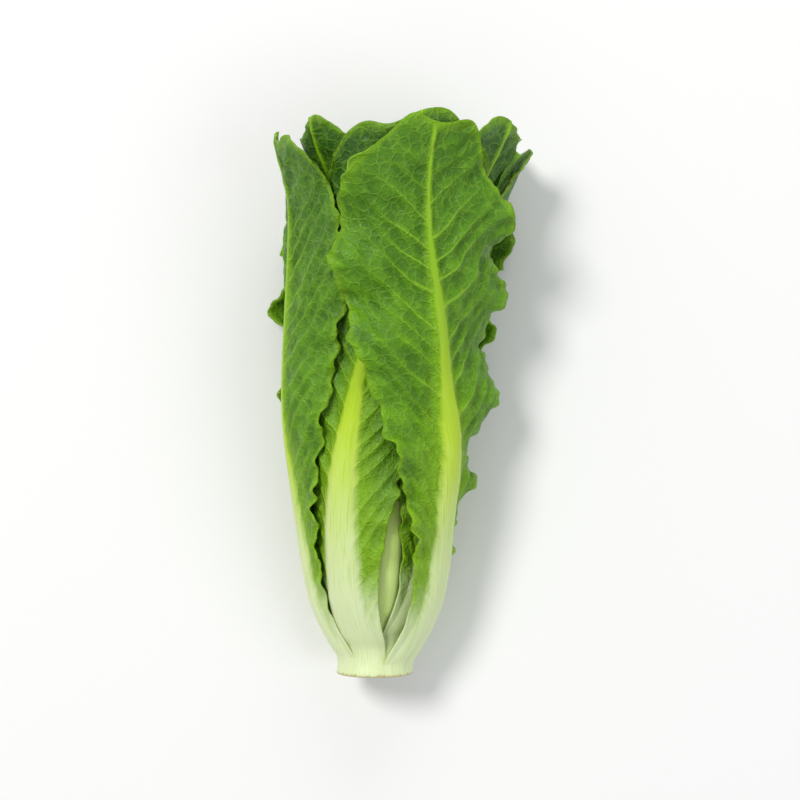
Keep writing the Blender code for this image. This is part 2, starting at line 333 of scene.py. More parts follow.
# Fine detail of the leaves: side veins, blisters between them, loose puckers and the frilled edge.
# A pair is a height and a wave length, but for the puckers the shortest and longest wave, and for
# ridgeFrom and blisterFrom where they start beside the rib and how fast they rise.
detail = {
    "veinSpacing": 0.0135, "veinRise": 0.6, "veinRiseLow": 1.2, "veinCurve": 12.0,
    "veinBend": (0.0022, 0.047), "veinSway": (0.0013, 0.029), "swayTilt": 0.4,
    "ridgeRise": 0.00075, "ridgeWidth": 0.0017, "ridgeNarrowing": 0.0010, "ridgeFade": 0.75,
    "ridgeWithin": 0.3, "ridgeFrom": (0.6, 0.5), "blisterFrom": (0.95, 0.6),
    "blister": (0.0016, 0.012), "flatSide": 0.35, "blisterFade": 0.5, "grownBy": 0.12,
    "puckerRise": 0.00045, "puckerWaves": 8, "puckerLengths": (0.009, 0.019),
    "frill": (0.0017, 0.0165), "fineFrill": (0.0007, 0.0071), "frillDrift": (1.1, 0.061),
    "frillStart": 0.06, "frillRise": 0.2, "edgeTurn": 0.8, "calmTip": 0.65, "heartShare": 0.6,
}


# Side veins as a coordinate that grows by veinSpacing from one vein to the next
def veinCoordinate(leaf, fields):
    reach = np.abs(fields["arc"])
    rise = detail["veinRise"] + detail["veinRiseLow"] * (1.0 - fields["fraction"]) ** 2
    along = fields["fromRoot"] - rise * reach - detail["veinCurve"] * reach**2
    height, length = detail["veinBend"]
    bend = height * np.sin(math.tau * along / length + leaf["phases"][0])
    height, length = detail["veinSway"]
    slanted = fields["arc"] + detail["swayTilt"] * along
    sway = height * np.sin(math.tau * slanted / length + leaf["phases"][1])
    return along + bend + sway


# 0 at the rib and 1 all round the leaf's free edge
def nearEdge(across, along):
    return np.clip((np.abs(across) ** 6 + aboveWidest(along) ** 6) ** (1 / 6), 0.0, 1.0)


# Loose puckers from plane waves in all directions
def puckersAt(arc, fromRoot, seed):
    waves = np.random.default_rng(seed)
    total = np.zeros_like(arc)
    for _ in range(detail["puckerWaves"]):
        heading = waves.uniform(0.0, math.pi)
        length = waves.uniform(*detail["puckerLengths"])
        walk = arc * math.cos(heading) + fromRoot * math.sin(heading)
        total += np.sin(math.tau * walk / length + waves.uniform(0.0, math.tau))
    return total / math.sqrt(detail["puckerWaves"])


# Waves along the leaf's edge, one set coarse and one fine
def frillAt(edge, fields):
    phase = fields["phase"]
    beyond = np.maximum(fields["halfHere"] - np.abs(fields["arc"]), 0.0)
    walk = fields["station"] + detail["edgeTurn"] * beyond
    height, length = detail["frillDrift"]
    drift = height * np.sin(math.tau * walk / length + phase)
    height, length = detail["frill"]
    frill = height * np.sin(math.tau * walk / length + 3.0 * phase + drift) * edge**6
    height, length = detail["fineFrill"]
    frill += height * np.sin(math.tau * walk / length + phase - drift) * edge**10
    tip = smooth((fields["fraction"] - outline["widestAt"]) / (1.0 - outline["widestAt"]))
    started = smooth((fields["fraction"] - detail["frillStart"]) / detail["frillRise"])
    return frill * started * (1.0 - detail["calmTip"] * tip)


# A number from 0 to 1 for each cell, as if drawn at random
def scatter(cell, shift):
    return np.sin(cell * 12.9898 + shift) * 43758.5453 % 1.0


# How far the whole blade stands out of its form, and then its raised veins
def leafRelief(leaf, edge, fields, veins):
    count = veins / detail["veinSpacing"] + 0.5 * (fields["arc"] > 0.0)
    share = count - np.floor(count)
    nearVein = (0.5 - np.abs(share - 0.5)) * detail["veinSpacing"]
    cellPhase = math.tau * scatter(np.floor(count), leaf["phases"][0])
    size = detail["heartShare"] + (1.0 - detail["heartShare"]) * (1.0 - leaf["inward"])
    grown = smooth(fields["fraction"] / detail["grownBy"])
    start, rise = detail["blisterFrom"]
    onBlade = smooth((fields["ribReach"] - start) / rise) * grown
    height, length = detail["blister"]
    cells = 0.5 + 0.5 * np.sin(math.tau * np.abs(fields["arc"]) / length + cellPhase)
    cells = detail["flatSide"] + (1.0 - detail["flatSide"]) * cells
    inside = 1.0 - detail["blisterFade"] * edge**3
    blister = height * np.sin(math.pi * share) ** 2 * cells * inside
    blister -= detail["puckerRise"] * puckersAt(fields["arc"], fields["fromRoot"], leaf["seed"])
    width = detail["ridgeWidth"] - detail["ridgeNarrowing"] * edge
    ridge = np.exp(-((nearVein / width) ** 2)) * (1.0 - detail["ridgeFade"] * edge)
    start, rise = detail["ridgeFrom"]
    ridge *= detail["ridgeRise"] * smooth((fields["ribReach"] - start) / rise) * grown
    return size * (frillAt(edge, fields) - blister * onBlade), size * ridge


def gridNormals(points, blurs=3):
    along = np.gradient(points, axis=0)
    across = np.gradient(points, axis=1)
    normals = np.cross(across, along)
    # the grid's corners lie along the outline, so their normals come from their neighbours
    for _ in range(blurs):
        padded = np.pad(normals, ((1, 1), (1, 1), (0, 0)), mode="edge")
        normals = padded[1:-1, 1:-1] + 0.5 * (
            padded[:-2, 1:-1] + padded[2:, 1:-1] + padded[1:-1, :-2] + padded[1:-1, 2:]
        )
    return normals / np.maximum(np.linalg.norm(normals, axis=-1, keepdims=True), 1e-12)


# A closed shell from two grids of points, with its UV maps
def shellMesh(name, outer, inner, maps):
    rows, columns = outer.shape[:2]
    index = np.arange(rows * columns).reshape(rows, columns)
    corners = [index[:-1, :-1], index[:-1, 1:], index[1:, 1:], index[1:, :-1]]
    face = np.stack([corner.ravel() for corner in corners], axis=1)
    back = face[:, ::-1] + rows * columns
    rim = np.concatenate([index[0, :], index[1:, -1], index[-1, -2::-1], index[-2:0:-1, 0]])
    after = np.roll(rim, -1)
    wall = np.stack([after, rim, rim + rows * columns, after + rows * columns], axis=1)
    quads = np.concatenate([face, back, wall])
    mesh = bpy.data.meshes.new(name)
    points = np.concatenate([outer.reshape(-1, 3), inner.reshape(-1, 3)])
    mesh.from_pydata(points.tolist(), [], quads.tolist())
    for mapName, u, v in maps:
        layer = mesh.uv_layers.new(name=mapName)
        values = np.stack([np.tile(u.ravel(), 2), np.tile(v.ravel(), 2)], axis=1)
        layer.data.foreach_set("uv", values[quads.ravel()].astype(np.float32).ravel())
    mesh.shade_smooth()
    return mesh


def addPiece(piece):
    obj = bpy.data.objects.new(piece["name"], piece["mesh"])
    bpy.context.scene.collection.objects.link(obj)
    obj.data.materials.append(piece["material"])
    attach(obj, "root")
    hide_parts(piece["node"])


# The leaves that show their roots run down to the cut in a foot each, the inner ones lower.
# Heights are above the stem's cone.
feet = {
    "leaves": 12, "rows": 22, "crowding": 1.3, "edge": 0.0008, "crown": 0.0010, "inward": 0.80,
    "least": 0.0002, "edgeSlope": 0.4, "round": 0.0006, "sink": 0.0008,
}


# Outer and inner face of a leaf's foot, from the cut up to the leaf's first row
def leafFoot(leaf, fields, thickness):
    rise = np.linspace(0.0, 1.0, feet["rows"], endpoint=False)[:, None] ** feet["crowding"]
    station = rise * leaf["root"] + 0.0 * fields["arc"][:1]
    crown = thickness[:1] / thickness[:1].max()
    low = (feet["edge"] + feet["crown"] * crown) * feet["inward"] ** leaf["seed"]
    stem = stemRadius(leaf["root"])
    top = fields["radius"][:1] - stem
    spread = headRadius(leaf["root"]) - heartRadius(leaf["root"])
    layer = headRadius(leaf["root"]) - leaf["depth"] * spread
    slope = leaf["root"] * (layer - stem) / wrapping["spread"]
    slope = slope * (feet["edgeSlope"] + (1.0 - feet["edgeSlope"]) * crown)
    height = low + (top - low) * rise**2 * (3.0 - 2.0 * rise) + slope * (rise**3 - rise**2)
    height = np.maximum(height, feet["least"]) - feet["round"] * np.exp(-station / feet["round"])
    turn = fields["turn"][:1] + 0.0 * station
    outer = place(turn, stemRadius(station) + height, station, leaf["depth"])
    inner = place(turn, stemRadius(station) - feet["sink"], station, leaf["depth"])
    return outer, inner, station


# Grid of each kind of leaf: columns across and rows along, closer together at the edges and root
grids = {
    "outer_leaf": (88, 200), "inner_leaf": (48, 110), "heart_leaf": (36, 70),
    "quickShare": 0.5, "rowCrowding": 1.15, "columnCrowding": 0.25,
}
leastHeight = 0.4  # of the inner face over the floor, in thicknesses

# Scales of the UV maps, which keep a leaf's coordinates for its material
uvScale = {"width": 0.16, "length": 0.36, "lengthStart": 0.25, "rib": 64.0, "relief": 0.008}


def addLeaf(node, leaf, material):
    columns, rows = grids[leaf["kind"]]
    line = np.linspace(-1.0, 1.0, columns + 1)
    crowding = grids["columnCrowding"]
    climb = np.linspace(0.0, 1.0, rows + 1) ** grids["rowCrowding"]
    across, along = np.meshgrid(line * (1.0 - crowding + crowding * line**2), climb)
    points, thickness, fields = leafForm(leaf, across, along)
    normals = gridNormals(points)
    veins = veinCoordinate(leaf, fields)
    edge = nearEdge(across, along)
    bulge, ridge = leafRelief(leaf, edge, fields, veins)
    outer = points + normals * (bulge + ridge)[..., None]
    within = bulge - thickness - detail["ridgeWithin"] * ridge
    inner = points + normals * within[..., None]
    outer[..., 2] = np.maximum(outer[..., 2], 0.0)
    inner[..., 2] = np.maximum(inner[..., 2], leastHeight * thickness)
    layers = {
        "arc": fields["arc"], "veins": veins, "edge": edge, "along": fields["fraction"],
        "rib": fields["ribReach"], "bulge": bulge, "station": fields["station"],
    }
    if leaf["seed"] < feet["leaves"]:
        footOuter, footInner, footStation = leafFoot(leaf, fields, thickness)
        outer = np.concatenate([footOuter, outer])
        inner = np.concatenate([footInner, inner])
        for name, layer in layers.items():
            first = np.repeat(layer[:1], feet["rows"], axis=0)
            layers[name] = np.concatenate([first, layer])
        layers["veins"][:feet["rows"]] += footStation - leaf["root"]
        layers["station"][:feet["rows"]] = footStation
    tone = np.full_like(layers["arc"], leaf["tone"])
    width, length, start = uvScale["width"], uvScale["length"], uvScale["lengthStart"]
    maps = [
        ("leaf", layers["arc"] / width + 0.5, layers["veins"] / length + start),
        ("reach", layers["edge"], layers["along"]),
        ("rib", layers["rib"] / uvScale["rib"], tone),
        ("relief", layers["station"] / length, layers["bulge"] / uvScale["relief"] + 0.5),
    ]
    addPiece({
        "name": node + "_fine", "mesh": shellMesh(node + "_fine", outer, inner, maps),
        "material": material, "node": node, "slot": leaf["kind"],
    })


# A new shader node with its settings
def addNode(tree, kind, **settings):
    made = tree.nodes.new(kind)
    for key, value in settings.items():
        setattr(made, key, value)
    return made


# A link where the value is a socket, and otherwise the socket's own value
def feed(tree, socket, value):
    if isinstance(value, bpy.types.NodeSocket):
        tree.links.new(value, socket)
    else:
        socket.default_value = value


def maths(tree, operation, *values, clamp=False):
    made = addNode(tree, "ShaderNodeMath", operation=operation, use_clamp=clamp)
    for socket, value in zip(made.inputs, values):
        feed(tree, socket, value)
    return made.outputs[0]


def times(tree, first, second):
    return maths(tree, "MULTIPLY", first, second)


# A value about 0.5 turned into one about zero, of the given size
def centred(tree, value, size):
    return times(tree, maths(tree, "SUBTRACT", value, 0.5), size)


# 0 up to low, 1 from high on, eased between; low may be the larger
def ramp(tree, value, low, high):
    made = addNode(tree, "ShaderNodeMapRange", interpolation_type="SMOOTHSTEP")
    feed(tree, made.inputs["Value"], value)
    feed(tree, made.inputs["From Min"], low)
    feed(tree, made.inputs["From Max"], high)
    return made.outputs["Result"]


# Mix nodes have a socket of each data type under one name, so the right ones are picked here
def mixColour(tree, amount, first, second):
    made = addNode(tree, "ShaderNodeMix", data_type="RGBA")
    feed(tree, made.inputs[0], amount)
    feed(tree, made.inputs[6], first)
    feed(tree, made.inputs[7], second)
    return made.outputs[2]


def newGroup(name, inputs, outputs):
    tree = bpy.data.node_groups.new(name, "ShaderNodeTree")
    for label, kind, value in inputs:
        socket = tree.interface.new_socket(name=label, in_out="INPUT", socket_type=kind)
        socket.default_value = value
    for label, kind in outputs:
        tree.interface.new_socket(name=label, in_out="OUTPUT", socket_type=kind)
    return tree, tree.nodes.new("NodeGroupInput"), tree.nodes.new("NodeGroupOutput")


def uvParts(tree, mapName):
    uv = addNode(tree, "ShaderNodeUVMap", uv_map=mapName)
    parts = addNode(tree, "ShaderNodeSeparateXYZ")
    tree.links.new(uv.outputs["UV"], parts.inputs[0])
    return parts.outputs["X"], parts.outputs["Y"]


def noise(tree, where, scale, octaves=3.0, roughness=0.5):
    made = addNode(tree, "ShaderNodeTexNoise")
    feed(tree, made.inputs["Vector"], where)
    made.inputs["Scale"].default_value = scale
    made.inputs["Detail"].default_value = octaves
    made.inputs["Roughness"].default_value = roughness
    return made.outputs["Fac"]


def vector(tree, x, y, z=0.0):
    made = addNode(tree, "ShaderNodeCombineXYZ")
    for socket, value in zip(made.inputs, (x, y, z)):
        feed(tree, socket, value)
    return made.outputs[0]


# Pattern of a leaf, in millimetres and in shares of its length or width. A pair is where a soft
# step begins and ends, and scales are waves or cells a millimetre.
patternLook = {
    "leafLength": 270.0, "toneShift": 37.0,
    "waver": 0.5, "waverScale": 0.12, "narrowing": (0.30, 0.85), "narrowBy": 1.2,
    "ribEdge": (1.25, 0.70), "foot": (0.17, 0.03), "footWaver": 0.15, "halo": (3.4, 0.8),
    "veinHalf": 1.05, "veinNarrowing": 0.85, "vein": (1.5, 0.2),
    "veinAcross": (1.0, 0.2), "veinAlong": (0.02, 0.2),
    "warp": 5.0, "warpScale": 0.16, "netScales": (0.20, 0.52),
    "coarse": (0.13, 0.0), "fine": (0.16, 0.0), "coarseShare": 0.7, "fineShare": 0.3,
    "cells": (0.0, 0.42), "smallCells": (0.0, 0.4),
    "mottle": (0.05, 4.0, 0.55), "streakAcross": 1.6, "streakAlong": 0.05,
    "veinHeight": 0.30, "coarseHeight": 0.20, "fineHeight": 0.10, "cellHeight": -0.22,
    "smallHeight": -0.07, "streakHeight": 0.16,
    # dip: painted shade where the relief lies low, none at 0.6 mm of relief and full at -1.4 mm
    "cut": (1.7, 0.2), "cutWaver": 3.0, "cutScale": 0.35, "paintedDipShade": (0.6, -1.4),
}


# Two sizes of net with cells of uneven shape, as distances to the nearest line
def buildNets(tree, flat):
    look = patternLook
    warp = addNode(tree, "ShaderNodeTexNoise")
    warp.inputs["Scale"].default_value = look["warpScale"]
    warp.inputs["Detail"].default_value = 2.0
    feed(tree, warp.inputs["Vector"], flat)
    swing = addNode(tree, "ShaderNodeVectorMath", operation="SCALE")
    feed(tree, swing.inputs[0], warp.outputs["Color"])
    swing.inputs["Scale"].default_value = look["warp"]
    bent = addNode(tree, "ShaderNodeVectorMath", operation="ADD")
    feed(tree, bent.inputs[0], flat)
    feed(tree, bent.inputs[1], swing.outputs[0])
    nets = []
    for scale in look["netScales"]:
        cells = addNode(tree, "ShaderNodeTexVoronoi", feature="DISTANCE_TO_EDGE")
        cells.inputs["Scale"].default_value = scale
        feed(tree, cells.inputs["Vector"], bent.outputs[0])
        nets.append(cells.outputs["Distance"])
    return nets


# Where the ribs, veins and edges of a leaf are, from its UV maps
def buildLeafPattern():
    look = patternLook
    labels = ("Rib", "Halo", "Vein", "Net", "Cells", "Edge", "Along", "Tone", "Mottle", "Streak",
              "Height", "Cut", "Painted dip shade")
    outputs = [(label, "NodeSocketFloat") for label in labels]
    tree, _, result = newGroup("leaf pattern", [], outputs)
    across, climb = uvParts(tree, "leaf")
    edge, along = uvParts(tree, "reach")
    ribReach, tone = uvParts(tree, "rib")
    station, bulge = uvParts(tree, "relief")
    station = times(tree, station, uvScale["length"] * millimetres)
    bulge = centred(tree, bulge, uvScale["relief"] * millimetres)
    arc = centred(tree, across, uvScale["width"] * millimetres)
    climb = maths(tree, "SUBTRACT", climb, uvScale["lengthStart"])
    climb = times(tree, climb, uvScale["length"] * millimetres)
    ribReach = times(tree, ribReach, uvScale["rib"])
    shift = times(tree, tone, look["toneShift"])
    flat = vector(tree, arc, climb, shift)

    # the rib's own edge wavers a little, and the foot of a leaf is pale from edge to edge
    waver = centred(tree, noise(tree, flat, look["waverScale"]), look["waver"])
    narrow = times(tree, ramp(tree, along, *look["narrowing"]), look["narrowBy"])
    reach = times(tree, maths(tree, "ADD", ribReach, waver), maths(tree, "ADD", 1.0, narrow))
    lowered = maths(tree, "ADD", along, times(tree, waver, look["footWaver"]))
    foot = ramp(tree, lowered, *look["foot"])
    rib = maths(tree, "MAXIMUM", ramp(tree, reach, *look["ribEdge"]), foot)
    halo = ramp(tree, reach, *look["halo"])

    # side veins, half a step apart on the two sides of the rib
    side = times(tree, maths(tree, "GREATER_THAN", arc, 0.0), 0.5)
    spacing = detail["veinSpacing"] * millimetres
    count = maths(tree, "ADD", maths(tree, "DIVIDE", climb, spacing), side)
    away = maths(tree, "SUBTRACT", maths(tree, "FRACT", count), 0.5)
    away = maths(tree, "SUBTRACT", 0.5, maths(tree, "ABSOLUTE", away))
    half = maths(tree, "SUBTRACT", look["veinHalf"], times(tree, edge, look["veinNarrowing"]))
    veins = maths(tree, "DIVIDE", times(tree, away, spacing), half)
    fade = ramp(tree, edge, *look["veinAcross"])
    fade = times(tree, fade, ramp(tree, along, *look["veinAlong"]))
    vein = times(tree, ramp(tree, veins, *look["vein"]), fade)

    # the net between them
    height = times(tree, along, look["leafLength"])
    nets = buildNets(tree, vector(tree, arc, height, shift))
    coarse = ramp(tree, nets[0], *look["coarse"])
    fine = ramp(tree, nets[1], *look["fine"])
    net = maths(tree, "ADD", times(tree, coarse, look["coarseShare"]),
                times(tree, fine, look["fineShare"]), clamp=True)
    cells = ramp(tree, nets[0], *look["cells"])
    small = ramp(tree, nets[1], *look["smallCells"])
    mottle = noise(tree, flat, *look["mottle"])
    stretched = vector(tree, times(tree, arc, look["streakAcross"]),
                       times(tree, climb, look["streakAlong"]))
    streak = noise(tree, stretched, 1.0)

    # height in millimetres, for bump
    relief = times(tree, vein, look["veinHeight"])
    for amount, field in (
        ("coarseHeight", coarse), ("fineHeight", fine), ("cellHeight", cells),
        ("smallHeight", small),
    ):
        relief = maths(tree, "ADD", relief, times(tree, field, look[amount]))
    lines = times(tree, times(tree, streak, rib), look["streakHeight"])
    blade = maths(tree, "SUBTRACT", 1.0, rib)
    height = maths(tree, "ADD", times(tree, relief, blade), lines)

    ragged = centred(tree, noise(tree, flat, look["cutScale"]), look["cutWaver"])
    cut = ramp(tree, maths(tree, "ADD", station, ragged), *look["cut"])
    # painted shade where the relief lies low
    paintedDipShade = ramp(tree, bulge, *look["paintedDipShade"])
    values = (rib, halo, vein, net, cells, edge, along, tone, mottle, streak, height, cut, paintedDipShade)
    for label, value in zip(labels, values):
        tree.links.new(value, result.inputs[label])
    return tree


# How a leaf's colours are mixed: a pair is where a soft step begins and ends, and a share is how
# much of the colour shows
colourLook = {
    "blade": (0.05, 0.50), "mottleLift": 0.26, "dark": (0.45, 1.0), "darkLeast": 0.25,
    "patch": (0.40, 0.72), "patchShare": 0.45, "bloom": (0.62, 0.30), "bloomShare": 0.55,
    # paintedDipShadeShare is how much painted shade darkens the dips of the relief
    "shade": (0.44, 0.62), "shadeShare": 0.20, "paintedDipShadeShare": 0.46, "haloShare": 0.55,
    # rim and paintedRimHighlightShare: a painted highlight along the leaf's edge
    "veinShare": 0.75, "veinFade": 0.5, "netShare": 0.32, "rim": (0.90, 1.0), "paintedRimHighlightShare": 0.45,
    "streakLift": 0.16, "ribMottle": 0.08, "ribLow": (0.05, 0.46), "ribHigh": (0.34, 0.78),
    "lines": (0.48, 0.75), "lineShare": 0.30, "rustShare": 0.65,
}


# Colour of a leaf from its pattern: a pale rib, green blade, darker tips, light veins
def buildLeafColour():
    look = colourLook
    labels = ("Rib", "Halo", "Vein", "Net", "Edge", "Along", "Tone", "Mottle", "Streak", "Cut",
              "Painted dip shade")
    shades = ("Blade low", "Blade", "Blade dark", "Bloom", "Rib root", "Rib middle", "Rib tip",
              "Vein colour", "Rust")
    inputs = [(label, "NodeSocketFloat", 0.0) for label in labels]
    inputs += [(label, "NodeSocketColor", (0.1, 0.2, 0.02, 1.0)) for label in shades]
    tree, entry, result = newGroup("leaf colour", inputs, [("Colour", "NodeSocketColor")])
    get = entry.outputs

    # the blade, from root to tip and in its mottles, with painted shade where its relief dips
    lift = maths(tree, "ADD", get["Along"], centred(tree, get["Mottle"], look["mottleLift"]))
    blade = mixColour(tree, ramp(tree, lift, *look["blade"]), get["Blade low"], get["Blade"])
    dark = maths(tree, "MULTIPLY", ramp(tree, lift, *look["dark"]),
                 maths(tree, "ADD", get["Tone"], look["darkLeast"]), clamp=True)
    blade = mixColour(tree, dark, blade, get["Blade dark"])
    patch = times(tree, ramp(tree, get["Mottle"], *look["patch"]), look["patchShare"])
    blade = mixColour(tree, times(tree, patch, get["Tone"]), blade, get["Blade dark"])
    bloom = times(tree, ramp(tree, get["Mottle"], *look["bloom"]),
                  times(tree, get["Tone"], look["bloomShare"]))
    blade = mixColour(tree, bloom, blade, get["Bloom"])
    shade = times(tree, ramp(tree, get["Mottle"], *look["shade"]), look["shadeShare"])
    # random darker mottles, plus painted shade in the dips of the relief
    mottleAndPaintedShade = maths(tree, "ADD", shade, times(tree, get["Painted dip shade"], look["paintedDipShadeShare"]))
    blade = mixColour(tree, mottleAndPaintedShade, blade, get["Blade dark"])

    # lighter beside the rib and on the veins, and a painted highlight at the rim
    halo = times(tree, get["Halo"], look["haloShare"])
    blade = mixColour(tree, halo, blade, get["Blade low"])
    share = maths(tree, "SUBTRACT", look["veinShare"], times(tree, get["Edge"], look["veinFade"]))
    blade = mixColour(tree, times(tree, get["Vein"], share), blade, get["Vein colour"])
    net = times(tree, get["Net"], look["netShare"])
    blade = mixColour(tree, net, blade, get["Vein colour"])
    # painted highlight along the leaf's edge
    rim = times(tree, ramp(tree, get["Edge"], *look["rim"]), look["paintedRimHighlightShare"])
    blade = mixColour(tree, rim, blade, get["Blade low"])

    # the rib, from pale to green, with fine lines along it
    climb = maths(tree, "ADD", get["Along"], centred(tree, get["Streak"], look["streakLift"]))
    climb = maths(tree, "ADD", climb, centred(tree, get["Mottle"], look["ribMottle"]))
    low = ramp(tree, climb, *look["ribLow"])
    ribs = mixColour(tree, low, get["Rib root"], get["Rib middle"])
    ribs = mixColour(tree, ramp(tree, climb, *look["ribHigh"]), ribs, get["Rib tip"])
    lines = times(tree, ramp(tree, get["Streak"], *look["lines"]), look["lineShare"])
    ribs = mixColour(tree, lines, ribs, get["Blade low"])
    whole = mixColour(tree, get["Rib"], blade, ribs)
    rust = times(tree, get["Cut"], look["rustShare"])
    tree.links.new(mixColour(tree, rust, whole, get["Rust"]), result.inputs["Colour"])
    return tree


leafPattern = buildLeafPattern()
leafColour = buildLeafColour()

# Gloss, roughness and depth of light of the leaves; colours are in linear light
leafShared = {
    "specular": 0.25, "cellRoughness": 0.10, "ribSmoothness": 0.06, "bump": 0.001,
    "radius": (0.5, 1.0, 0.12), "scale": 0.003,
}
leafLooks = {
    "outer_leaf": {
        "roughness": 0.38, "subsurface": 0.12,
        "colours": {
            "Blade low": (0.255, 0.490, 0.006), "Blade": (0.122, 0.320, 0.002),
            "Blade dark": (0.026, 0.100, 0.008), "Bloom": (0.120, 0.235, 0.080),
            "Rib root": (0.700, 0.800, 0.460), "Rib middle": (0.480, 0.670, 0.030),
            "Rib tip": (0.240, 0.460, 0.010), "Vein colour": (0.260, 0.490, 0.022),
            "Rust": (0.430, 0.260, 0.095),
        },
    },
    "inner_leaf": {
        "roughness": 0.42, "subsurface": 0.16,
        "colours": {
            "Blade low": (0.390, 0.640, 0.040), "Blade": (0.190, 0.425, 0.010),
            "Blade dark": (0.080, 0.235, 0.008), "Bloom": (0.180, 0.330, 0.075),
            "Rib root": (0.700, 0.860, 0.300), "Rib middle": (0.550, 0.760, 0.070),
            "Rib tip": (0.350, 0.600, 0.030), "Vein colour": (0.390, 0.620, 0.055),
            "Rust": (0.430, 0.260, 0.095),
        },
    },
    "heart_leaf": {
        "roughness": 0.42, "subsurface": 0.20,
        "colours": {
            "Blade low": (0.600, 0.820, 0.150), "Blade": (0.450, 0.750, 0.060),
            "Blade dark": (0.350, 0.680, 0.035), "Bloom": (0.390, 0.670, 0.100),
            "Rib root": (0.740, 0.860, 0.400), "Rib middle": (0.680, 0.840, 0.280),
            "Rib tip": (0.540, 0.780, 0.130), "Vein colour": (0.560, 0.800, 0.170),
            "Rust": (0.430, 0.260, 0.095),
        },
    },
}


def leafMaterial(name, look):
    mat = bpy.data.materials.new(name)
    mat.use_nodes = True
    tree = mat.node_tree
    shader = tree.nodes["Principled BSDF"]
    pattern = addNode(tree, "ShaderNodeGroup", node_tree=leafPattern)
    colour = addNode(tree, "ShaderNodeGroup", node_tree=leafColour)
    for socket in colour.inputs:
        if socket.name in pattern.outputs:
            tree.links.new(pattern.outputs[socket.name], socket)
        elif socket.name in look["colours"]:
            socket.default_value = (*look["colours"][socket.name], 1.0)
    tree.links.new(colour.outputs["Colour"], shader.inputs["Base Color"])
    bump = addNode(tree, "ShaderNodeBump")
    bump.inputs["Distance"].default_value = leafShared["bump"]
    tree.links.new(pattern.outputs["Height"], bump.inputs["Height"])
    tree.links.new(bump.outputs["Normal"], shader.inputs["Normal"])
    rough = times(tree, pattern.outputs["Cells"], leafShared["cellRoughness"])
    rough = maths(tree, "ADD", look["roughness"], rough)
    sleek = times(tree, pattern.outputs["Rib"], leafShared["ribSmoothness"])
    tree.links.new(maths(tree, "SUBTRACT", rough, sleek), shader.inputs["Roughness"])
    shader.inputs["Subsurface Weight"].default_value = look["subsurface"]
    shader.inputs["Subsurface Radius"].default_value = leafShared["radius"]
    shader.inputs["Subsurface Scale"].default_value = leafShared["scale"]
    shader.inputs["Specular IOR Level"].default_value = leafShared["specular"]
    return mat


rng = random.Random(leaves["seed"])
leafMaterials = {
    kind: leafMaterial(kind.replace("_", " "), look) for kind, look in leafLooks.items()
}
numbers = {kind: 0 for kind in leafLooks}
for index in range(head["leaves"]):
    leaf = describeLeaf(index, rng)
    numbers[leaf["kind"]] += 1
    addLeaf(f"{leaf['kind']}_{numbers[leaf['kind']]:02d}", leaf, leafMaterials[leaf["kind"]])
print("leaves made")


# Stem: turned about the head's axis, with a dished cut face that the knife left a little wavy
stemLook = {
    "sides": 180, "faceRows": 26, "sideRows": 60, "edgeRows": 6, "tipRows": 7, "edge": 0.0012,
    "leastRadius": 0.00005, "faceDepth": 0.0004, "dish": 0.0009,
    "knife": 0.00035, "knifeLength": 0.0016, "knifeTurn": 0.6, "knifeStart": 0.004,
    "uvRadius": 0.03, "uvLength": 0.08,
}


def buildStemMesh():
    look = stemLook
    edge, sides, base = look["edge"], look["sides"], cone["radius"]
    faceRadius = np.linspace(0.0, base - edge, look["faceRows"])
    bend = np.linspace(0.0, math.pi / 2, look["edgeRows"] + 1)[1:]
    edgeRadius = base - edge + edge * np.sin(bend)
    edgeStation = edge * (1.0 - np.cos(bend))
    sideStation = np.linspace(edge, cone["length"], look["sideRows"])[1:]
    bend = np.linspace(0.0, math.pi / 2, look["tipRows"] + 1)[1:]
    tipRadius = float(stemRadius(cone["length"])) * np.cos(bend)
    tipStation = cone["length"] + (cone["withTip"] - cone["length"]) * np.sin(bend)
    radius = np.concatenate([faceRadius, edgeRadius, stemRadius(sideStation), tipRadius])
    station = np.concatenate([np.zeros(len(faceRadius)), edgeStation, sideStation, tipStation])
    radius = np.maximum(radius, look["leastRadius"])
    turns = np.linspace(0.0, math.tau, sides, endpoint=False)
    station, turn = np.meshgrid(station, turns, indexing="ij")
    radius = np.repeat(radius[:, None], sides, axis=1)
    onFace = smooth((look["faceDepth"] - station) / look["faceDepth"])
    strokes = np.sin(radius * np.sin(turn - look["knifeTurn"]) / look["knifeLength"])
    knife = look["knife"] * (1.0 + strokes * smooth(radius / look["knifeStart"]))
    dish = look["dish"] * smooth(1.0 - radius / base)
    points = place(turn, radius, station + (dish + 0.5 * knife) * onFace, 0.0)
    rows = len(radius)
    index = np.arange(rows * sides).reshape(rows, sides)
    after = np.roll(index, -1, axis=1)
    corners = [index[:-1], after[:-1], after[1:], index[1:]]
    quads = np.stack([corner.ravel() for corner in corners], axis=1)
    ends = [index[0, ::-1].tolist(), index[-1].tolist()]
    mesh = bpy.data.meshes.new("stem_fine")
    mesh.from_pydata(points.reshape(-1, 3).tolist(), [], quads.tolist() + ends)
    loops = np.empty(len(mesh.loops), dtype=np.int32)
    mesh.loops.foreach_get("vertex_index", loops)
    layer = mesh.uv_layers.new(name="stem")
    u, v = (radius / look["uvRadius"]).ravel(), (station / look["uvLength"]).ravel()
    values = np.stack([u, v], axis=1)
    layer.data.foreach_set("uv", values[loops].astype(np.float32).ravel())
    mesh.shade_smooth()
    return mesh


